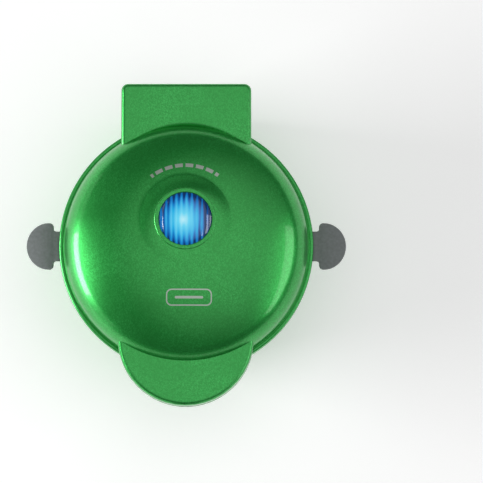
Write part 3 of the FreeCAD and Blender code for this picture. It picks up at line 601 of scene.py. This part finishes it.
def bowl_wall(height, offset=0.0):
    """The bowl's outer radius at a height: a long arc from the floor, upright above bowl_straight."""
    if height >= bowl_straight:
        return bowl_radius - offset
    ends = Vector((bowl_radius - bowl_floor_radius, bowl_straight - base_low.z))
    half = ends.length / 2
    away = math.sqrt(bowl_curve ** 2 - half ** 2)
    middle = (Vector((bowl_floor_radius, base_low.z)) + ends / 2
              + Vector((-ends.y, ends.x)) / (2 * half) * away)
    return middle.x + math.sqrt((bowl_curve - offset) ** 2 - (height - middle.y) ** 2)


notch_turns = [math.asin(half / bowl_radius) for half in (7.9 * mm, 8.15 * mm, 8.3 * mm, 8.6 * mm)]
bowl_turns = sorted(set(even_turns + [middle + sign * t for middle in (0, math.pi, math.tau)
                                      for sign in (-1, 1) for t in notch_turns
                                      if 0 <= middle + sign * t < math.tau]))


def bowl_loop(radius, height):
    """A loop round the bowl, with extra points at the sides of the two notches."""
    return circle(radius, height, turns=bowl_turns)


def rim_loop(radius, height):
    """A loop of the rim, pulled down to the floor of the two notches."""
    loop = []
    for x, y, z in bowl_loop(radius, height):
        loop.append((x, y, min(z, notch_floor) if abs(y) < notch_half and abs(x) > 50 * mm else z))
    return loop


base = bmesh.new()
bowl_skin = 1.8 * mm
foot_edge = 0.4 * mm
base_rim_profile = [(61.5, 3.5), (61.65, 3.05), (61.9, 2.95), (62.2, 3.05), (63.3, 3.0), (63.75, 2.75),
                    (64.0, 2.3), (64.0, 0.7), (63.85, 0.25), (63.5, 0.0), (59.8, 0.0), (59.45, 0.15),
                    (59.3, 0.5), (59.3, 1.9), (57.5, 2.0), (57.5, 6.0)]
base_loops = [bowl_loop(bowl_wall(z, bowl_skin), z)
              for z in spread(bowl_straight, base_low.z + 0.3 * mm, 10)]
base_loops += [bowl_loop(bowl_floor_radius - 1.5 * mm, base_low.z),
               bowl_loop(bowl_floor_radius - foot_edge, base_low.z),
               bowl_loop(bowl_floor_radius, base_low.z + foot_edge)]
base_loops += [bowl_loop(bowl_wall(z), z) for z in spread(base_low.z + 2 * mm, bowl_straight, 16)]
base_loops += [rim_loop(radius * mm, base_rim - drop * mm) for radius, drop in base_rim_profile]
base_loops.append(bowl_loop(bowl_radius - wall, base_rim - 8 * mm))
close(base, skin(base, base_loops))

def bowl_core(level):
    """How far in the hollow back of the lower handle and block runs at a height: within the bowl's
    wall."""
    return bowl_wall(level) - 1 * mm


def behind_bowl(x, level):
    """The lower block's front edge, which is hidden in the bowl's wall."""
    return math.sqrt(bowl_core(level) ** 2 - x ** 2)


def behind_foot(x, level):
    """The front edge of the block's sole, just clear of the bowl's foot."""
    return math.sqrt((bowl_floor_radius + 1 * mm) ** 2 - x ** 2)


lower_handle_half, lower_handle_tip, lower_handle_foot = 31 * mm, 75 * mm, 39 * mm
moulded_cap(base, tongue(lower_handle_half, lower_handle_tip, bowl_core), lower_handle_foot,
            base_rim - 0.05 * mm, 0.8 * mm, wall)
lower_block_half, lower_block_top = 30 * mm, 34 * mm
block_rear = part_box("cord_gland")[1].y - 1.2 * mm
moulded_cap(base, rounded_block(lower_block_half, behind_bowl, block_rear, 3.5 * mm), base_low.z,
            lower_block_top, 2.0 * mm, wall)
sole = rounded_block(lower_block_half - 1.9 * mm, behind_foot, block_rear - 1.9 * mm, 2.0 * mm)
slab(base, sole(0, 0), base_low.z + 0.5 * mm, base_low.z + 2.2 * mm, 0.1 * mm)
ear_radius = base_high.z - hinge_z
ear_front, ear_foot = 56.3 * mm, 33 * mm
ear_inner, ear_outer = 14 * mm, 23 * mm
ear_plan = eye(ear_radius, -118, 193)
ear_plan += [(hinge_y - 10.8 * mm, hinge_z - 2.0 * mm), (ear_front, hinge_z - 8 * mm),
             (ear_front, ear_foot), (61.5 * mm, ear_foot), (63.4 * mm, ear_foot + 5.5 * mm)]
slab(base, ear_plan, ear_inner, ear_outer, 0.35 * mm, across=True)
slab(base, ear_plan, -ear_outer, -ear_inner, 0.35 * mm, across=True)
add_piece("base_shell", finished_mesh("base_shell", base), mica_filled_plastic("moulded_green_mica_abs"),
          "base", ["base_housing"])

# ---------------------------------------------------------------- ring mould
# The mould is one piece of grey platinum-cured silicone that lifts out of the cast cup by two tabs. Its
# floor is fluted in a swirl, so that the cake comes out ridged, and its hollow post makes the hole.
mould_low, mould_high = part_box("ring_mould")
brim_top = mould_high.z
brim_low = brim_top - 2.5 * mm
flutes = 16
swirl = 0.55
swirl_reach = 30 * mm
flute_height = 1.5 * mm


def fluted(radius, height, weight):
    """A loop of the cavity with the flutes pressed into it. The flutes turn as the radius grows, by
    swirl radians for each swirl_reach, and weight fades them."""
    loop = []
    for turn in even_turns:
        ridge = abs(math.cos(flutes / 2 * (turn + swirl * radius / swirl_reach)))
        push = flute_height * weight * (ridge - 0.4)
        loop.append(((radius - push * 0.5) * math.cos(turn), (radius - push * 0.5) * math.sin(turn),
                     height + push * 0.8))
    return loop


# The profiles are in millimetres: radius, drop below the brim and, in the cavity, the flutes' weight.
mould = bmesh.new()
floor_level = mould_low.z + 1.8 * mm
post_top = mould_low.z + 23.8 * mm
cavity = [(52.9, 0.0, 0), (52.7, 0.25, 0), (52.5, 1.2, 0), (51.8, 4.5, 0.1), (50.9, 9, 0.5),
          (49.9, 14, 0.9), (48.9, 19, 1), (48.0, 22.5, 1)]
floor_curve = 6.6 * mm
post_foot = 4.3 * mm
mould_loops = [fluted(radius * mm, brim_top - drop * mm, weight) for radius, drop, weight in cavity]
for angle in spread(8, 84, 8):
    mould_loops.append(fluted(40.6 * mm + floor_curve * math.cos(math.radians(angle)),
                              floor_level + floor_curve * (1 - math.sin(math.radians(angle))), 1))
for radius in spread(40 * mm, 13 * mm, 16):
    mould_loops.append(fluted(radius, floor_level, 0.35 + 0.65 * ease(radius, 12 * mm, 30 * mm)))
for angle in spread(15, 80, 6):
    mould_loops.append(circle(11.5 * mm - post_foot * math.sin(math.radians(angle)),
                              floor_level + post_foot * (1 - math.cos(math.radians(angle)))))
for radius, drop in ((6.9, 15), (6.6, 8), (6.3, 2.0), (6.1, 1.0), (5.7, 0.4), (5.1, 0.06), (4.4, 0.0)):
    mould_loops.append(circle(radius * mm, post_top - drop * mm))
skin(mould, mould_loops, last_cap=True)
under = [circle(radius * mm, brim_top - drop * mm)
         for radius, drop in ((52.9, 0.0), (57.5, 0.0), (57.85, 0.15), (58.0, 0.5), (58.0, 2.0),
                              (57.85, 2.35), (57.5, 2.5), (54.1, 2.5))]
under += [circle(radius * mm, mould_low.z + rise * mm)
          for radius, rise in ((48.3, 4.9), (45.6, 1.6), (41.8, 0), (9, 0), (5.6, 4.2))]
under += [circle(4.6 * mm, post_top - 3 * mm), circle(3.4 * mm, post_top - 1.8 * mm)]
skin(mould, under, last_cap=True)


def tab_plan(side):
    """A tab seen from above: a neck through the rim's notch and a mushroom-shaped head to pinch."""
    neck_start, neck_end, half_neck = 56.9 * mm, 66.9 * mm, 7.5 * mm
    half_head, corner, bow = 11.8 * mm, 2.2 * mm, 11.2 * mm
    half = [(neck_start, -half_neck), (neck_end - 1.2 * mm, -half_neck),
            (neck_end - 0.3 * mm, -half_neck - 0.35 * mm), (neck_end, -half_neck - 1.2 * mm)]
    half += [(neck_end + corner * (1 - math.cos(a)), -half_head + corner * (1 - math.sin(a)))
             for a in spread(0, math.pi / 2, 6)]
    half += [(mould_high.x - bow + bow * math.cos(a), half_head * math.sin(a))
             for a in spread(-1.42, 0, 14)]
    whole = half + [(x, -y) for x, y in half[-2::-1]]
    return whole if side > 0 else [(-x, y) for x, y in whole][::-1]


for side in (-1, 1):
    slab(mould, tab_plan(side), brim_low, brim_top, 0.45 * mm)


def moulded_silicone():
    """Grey silicone rubber with a satin mould finish: soft broad sheen, a fine dusty mottling and a
    slight waviness where it flexes."""
    material, place = blank("satin_grey_silicone")
    dust = node(material, "ShaderNodeTexNoise", {"Vector": place}, set_Scale=1 / (1.4 * mm),
                set_Detail=5.0)
    tone = node(material, "ShaderNodeValToRGB", {"Fac": dust.outputs["Fac"]})
    set_stops(tone, (0.3, linear("#727877")), (0.7, linear("#7f8585")))
    sheen_spread = node(material, "ShaderNodeMapRange", {"Value": dust.outputs["Fac"]},
                        set_To_Min=0.5, set_To_Max=0.66)
    relief = node(material, "ShaderNodeBump", {"Height": dust.outputs["Fac"]}, set_Strength=0.25,
                  set_Distance=0.03 * mm)
    return surface(material, node(material, "ShaderNodeBsdfPrincipled",
                                  {"Base Color": tone.outputs["Color"], "Normal": relief.outputs["Normal"],
                                   "Roughness": sheen_spread.outputs["Result"]},
                                  set_IOR=1.41, set_Sheen_Weight=0.15, set_Sheen_Roughness=0.5))


add_piece("silicone_mould", finished_mesh("silicone_mould", mould, 38), moulded_silicone(), "base",
          ["ring_mould"])

# ---------------------------------------------------------------- bottom cover and lens retainer
# A black ABS disc with vent slots closes the base from below. A ring of the same plastic clamps the
# pilot light's window up against its gasket inside the lid.
def give_finish(material, *names):
    """Puts a finish on CAD parts whose own shape shows."""
    for name in names:
        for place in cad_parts[name].material_slots:
            place.material = material


def patterned_finish(material, pattern, colours, roughness, links=(), **settings):
    """A finish whose colour and gloss both follow one fine pattern, from the first value to the second."""
    tone = node(material, "ShaderNodeMix", {0: pattern}, data_type="RGBA", set_6=linear(colours[0]),
                set_7=linear(colours[1]))
    gloss = node(material, "ShaderNodeMapRange", {"Value": pattern}, set_To_Min=roughness[0],
                 set_To_Max=roughness[1])
    return surface(material, node(material, "ShaderNodeBsdfPrincipled",
                                  {"Base Color": tone.outputs[2], "Roughness": gloss.outputs["Result"],
                                   **dict(links)}, **settings))


def spark_textured_abs():
    """Black ABS moulded against a spark-eroded tool: an even fine grain that breaks up the gloss."""
    material, place = blank("spark_textured_black_abs")
    grain = node(material, "ShaderNodeTexNoise", {"Vector": place}, set_Scale=1 / (0.6 * mm),
                 set_Detail=3.0)
    relief = node(material, "ShaderNodeBump", {"Height": grain.outputs["Fac"]}, set_Strength=0.4,
                  set_Distance=0.05 * mm)
    return patterned_finish(material, grain.outputs["Fac"], ("#16171a", "#26282b"), (0.46, 0.64),
                            {"Normal": relief.outputs["Normal"]}, set_IOR=1.53)


give_finish(spark_textured_abs(), "base_bottom_cover", "lens_retainer")

# ---------------------------------------------------------------- feet, lens gasket and cord gland
# Four nitrile feet snap into the cover, a flat ring of the same rubber seals the window, and a rubber
# gland lines the hole where the mains lead leaves the rear block.
def nitrile_rubber():
    """Black nitrile rubber, compression moulded: matt, with a dusty bloom in its fine pores."""
    material, place = blank("matt_black_nitrile_rubber")
    bloom = node(material, "ShaderNodeTexNoise", {"Vector": place}, set_Scale=1 / (2.5 * mm),
                 set_Detail=6.0)
    pores = node(material, "ShaderNodeTexVoronoi", {"Vector": place}, set_Scale=1 / (0.5 * mm))
    relief = node(material, "ShaderNodeBump", {"Height": pores.outputs["Distance"]}, set_Strength=0.2,
                  set_Distance=0.04 * mm)
    return patterned_finish(material, bloom.outputs["Fac"], ("#101112", "#2a2b2c"), (0.7, 0.9),
                            {"Normal": relief.outputs["Normal"]}, set_IOR=1.52, set_Sheen_Weight=0.1)


give_finish(nitrile_rubber(), "feet", "lens_gasket", "cord_gland")

# ---------------------------------------------------------------- cast cup and upper plate
# The cup under the mould and the plate over it are die-cast aluminium, sprayed with a dark non-stick
# coat. The cup rests on the base's ledge; the plate is screwed up into the lid.
def non_stick_cast_aluminium():
    """Die-cast aluminium with a baked two-layer PTFE coat: charcoal with fine pale flecks, a satin gloss
    and the faint orange peel of a sprayed film."""
    material, place = blank("non_stick_coated_cast_aluminium")
    flecks = node(material, "ShaderNodeTexVoronoi", {"Vector": place}, set_Scale=1 / (1.1 * mm))
    spot = node(material, "ShaderNodeMapRange", {"Value": flecks.outputs["Distance"]}, set_From_Min=0.16,
                set_From_Max=0.1, set_To_Max=0.75)
    film = node(material, "ShaderNodeTexNoise", {"Vector": place}, set_Scale=1 / (6 * mm),
                set_Detail=4.0)
    coat = node(material, "ShaderNodeMix", {0: film.outputs["Fac"]}, data_type="RGBA",
                set_6=linear("#34373a"), set_7=linear("#474a4d"))
    tone = node(material, "ShaderNodeMix", {0: spot.outputs["Result"], 6: coat.outputs[2]},
                data_type="RGBA", set_7=linear("#777b7d"))
    gloss = node(material, "ShaderNodeMapRange", {"Value": film.outputs["Fac"]},
                 set_To_Min=0.34, set_To_Max=0.46)
    peel = node(material, "ShaderNodeTexNoise", {"Vector": place}, set_Scale=1 / (1.3 * mm),
                set_Detail=1.0)
    relief = node(material, "ShaderNodeBump", {"Height": peel.outputs["Fac"]}, set_Strength=0.15,
                  set_Distance=0.05 * mm)
    return surface(material, node(material, "ShaderNodeBsdfPrincipled",
                                  {"Base Color": tone.outputs[2], "Roughness": gloss.outputs["Result"],
                                   "Normal": relief.outputs["Normal"]}, set_Metallic=0.2, set_IOR=1.5))


give_finish(non_stick_cast_aluminium(), "lower_cup", "upper_plate")

# ---------------------------------------------------------------- heating elements
# Each plate has one sheathed element, bent into an open ring and clamped to its back. The sheath is a
# nickel alloy tube, annealed and then tinted by its own heat.
def heat_tinted_sheath():
    """Annealed nickel-alloy tube: a satin grey metal with straw and brown tints in slow patches."""
    material, place = blank("heat_tinted_nickel_alloy")
    patches = node(material, "ShaderNodeTexNoise", {"Vector": place}, set_Scale=1 / (9 * mm),
                   set_Detail=4.0)
    tone = node(material, "ShaderNodeMix", {0: patches.outputs["Fac"]}, data_type="RGBA",
                set_6=linear("#7d7873"), set_7=linear("#9c8460"))
    scale = node(material, "ShaderNodeTexNoise", {"Vector": place}, set_Scale=1 / (0.8 * mm),
                 set_Detail=3.0)
    gloss = node(material, "ShaderNodeMapRange", {"Value": scale.outputs["Fac"]},
                 set_To_Min=0.3, set_To_Max=0.5)
    return surface(material, node(material, "ShaderNodeBsdfPrincipled",
                                  {"Base Color": tone.outputs[2], "Roughness": gloss.outputs["Result"]},
                                  set_Metallic=1.0))


give_finish(heat_tinted_sheath(), "lower_heating_element", "upper_heating_element")

# ---------------------------------------------------------------- screws, spacers and clamps
# Small steel parts hold the plates, elements and covers: pan-head screws, turned sleeves and short
# punched straps, all barrel-plated with bright zinc.
def bright_zinc():
    """Zinc-plated steel: bluish white metal, a little cloudy where the parts tumbled on each other."""
    material, place = blank("bright_zinc_plated_steel")
    cloud = node(material, "ShaderNodeTexNoise", {"Vector": place}, set_Scale=1 / (1.6 * mm),
                 set_Detail=4.0)
    return patterned_finish(material, cloud.outputs["Fac"], ("#a6acb2", "#cfd3d5"), (0.2, 0.42),
                            set_Metallic=1.0)


give_finish(bright_zinc(), "bottom_cover_screws", "lower_plate_screws", "lower_spacers",
            "lower_element_clamps", "upper_plate_screws", "upper_spacers", "upper_element_clamps",
            "upper_reflector_screws")

# ---------------------------------------------------------------- reflectors
# A thin disc behind each element throws its heat back at the plate. They are punched from aluminised
# steel sheet, and sit on the spacers.
def aluminised_sheet():
    """Aluminised steel sheet, cold rolled: pale grey metal with fine straight rolling lines."""
    material, place = blank("rolled_aluminised_steel")
    along = node(material, "ShaderNodeMapping", {"Vector": place}, set_Scale=(1.0, 0.04, 1.0))
    lines = node(material, "ShaderNodeTexNoise", {"Vector": along.outputs[0]}, set_Scale=1 / (0.7 * mm),
                 set_Detail=3.0)
    return patterned_finish(material, lines.outputs["Fac"], ("#a3a6a8", "#c2c5c6"), (0.28, 0.44),
                            set_Metallic=1.0, set_Anisotropic=0.4)


give_finish(aluminised_sheet(), "lower_reflector", "upper_reflector")

# ---------------------------------------------------------------- hinge pins
# Two plain pins are turned from bright steel bar and pressed through the base's ears. The lid's lugs
# turn on their inner ends.
def turned_steel():
    """Turned steel bar: bright, with fine rings round it. They are drawn 1 mm apart, coarse enough to
    show, and a wave's straight bands lie 0.314 / scale apart."""
    material, place = blank("turned_bright_steel")
    rings = node(material, "ShaderNodeTexWave", {"Vector": place}, bands_direction="X",
                 set_Scale=0.314 / (1 * mm), set_Distortion=0.6)
    return patterned_finish(material, rings.outputs["Fac"], ("#8e9194", "#c8cbcd"), (0.18, 0.34),
                            set_Metallic=1.0)


give_finish(turned_steel(), "hinge_pins")

# ---------------------------------------------------------------- terminal block, lamp holder and fuses
# The parts that carry mains are moulded in white glass-filled PBT: the block where the lead is screwed
# down, the lamp's cradle, and the potted bodies of the two thermal fuses.
def glass_filled_pbt():
    """White PBT with glass fibre: off-white and a little translucent, with faint flow marks."""
    material, place = blank("glass_filled_white_pbt")
    flow = node(material, "ShaderNodeTexNoise", {"Vector": place}, set_Scale=1 / (3 * mm), set_Detail=4.0,
                set_Distortion=1.5)
    return patterned_finish(material, flow.outputs["Fac"], ("#d3cfc2", "#ebe8de"), (0.36, 0.5),
                            set_IOR=1.55)


give_finish(glass_filled_pbt(), "terminal_block", "lamp_holder", "thermal_fuse", "upper_thermal_fuse")

# ---------------------------------------------------------------- thermostat
# The thermostat is a snap-disc switch in a case of moulded phenolic. It is held against the underside
# of the cup, so that its disc feels the cup's heat.
def phenolic():
    """Wood-flour phenolic, compression moulded: dark brown with paler flecks and a dull gloss."""
    material, place = blank("moulded_brown_phenolic")
    flour = node(material, "ShaderNodeTexVoronoi", {"Vector": place}, set_Scale=1 / (0.7 * mm))
    return patterned_finish(material, flour.outputs["Distance"], ("#4a3324", "#22150e"), (0.36, 0.5),
                            set_IOR=1.6)


give_finish(phenolic(), "thermostat")

# ---------------------------------------------------------------- leads
# The leads run up from the terminal block and through the hinge to the lid's element. Each is sleeved
# in braided glass fibre, which stands the heat.
def braided_glass_sleeve():
    """Varnished glass-fibre braid: dull cream yarns that cross at a slant, 1.3 mm apart, where a wave's
    slanting bands lie 0.363 / scale apart."""
    material, place = blank("braided_glass_fibre_sleeve")
    braid = 0.363 / (1.3 * mm)
    one_way = node(material, "ShaderNodeTexWave", {"Vector": place}, bands_direction="DIAGONAL",
                   set_Scale=braid)
    mirrored = node(material, "ShaderNodeMapping", {"Vector": place}, set_Scale=(-1.0, 1.0, 1.0))
    other_way = node(material, "ShaderNodeTexWave", {"Vector": mirrored.outputs[0]},
                     bands_direction="DIAGONAL", set_Scale=braid)
    weave = node(material, "ShaderNodeMath", {0: one_way.outputs["Fac"], 1: other_way.outputs["Fac"]},
                 operation="MULTIPLY")
    tone = node(material, "ShaderNodeMix", {0: weave.outputs[0]}, data_type="RGBA",
                set_6=linear("#b9b39d"), set_7=linear("#e9e5d6"))
    relief = node(material, "ShaderNodeBump", {"Height": weave.outputs[0]}, set_Strength=0.6,
                  set_Distance=0.2 * mm)
    return surface(material, node(material, "ShaderNodeBsdfPrincipled",
                                  {"Base Color": tone.outputs[2], "Normal": relief.outputs["Normal"]},
                                  set_Roughness=0.7, set_IOR=1.5, set_Sheen_Weight=0.15))


give_finish(braided_glass_sleeve(), "lower_leads", "upper_leads")

# ---------------------------------------------------------------- pilot lamp
# A small neon lamp stands in the cradle behind the window. It is a thin blown glass bulb, sealed round
# two electrodes that glow.
def lit_neon_glass():
    """Thin blown glass with the neon glow inside it: brightest low down, round the electrodes."""
    material, place = blank("blown_glass_neon_lamp")
    lamp_low, lamp_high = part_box("indicator_lamp")
    parts = node(material, "ShaderNodeSeparateXYZ", {0: place})
    rise = node(material, "ShaderNodeMapRange", {"Value": parts.outputs["Z"]}, set_From_Min=lamp_low.z,
                set_From_Max=lamp_high.z)
    glow = node(material, "ShaderNodeMix", {0: rise.outputs["Result"]}, data_type="RGBA",
                set_6=linear("#ffb070"), set_7=linear("#ffe6cc"))
    return surface(material, node(material, "ShaderNodeBsdfPrincipled",
                                  {"Base Color": glow.outputs[2], "Emission Color": glow.outputs[2]},
                                  set_Emission_Strength=0.8, set_Roughness=0.06, set_IOR=1.5))


give_finish(lit_neon_glass(), "indicator_lamp")
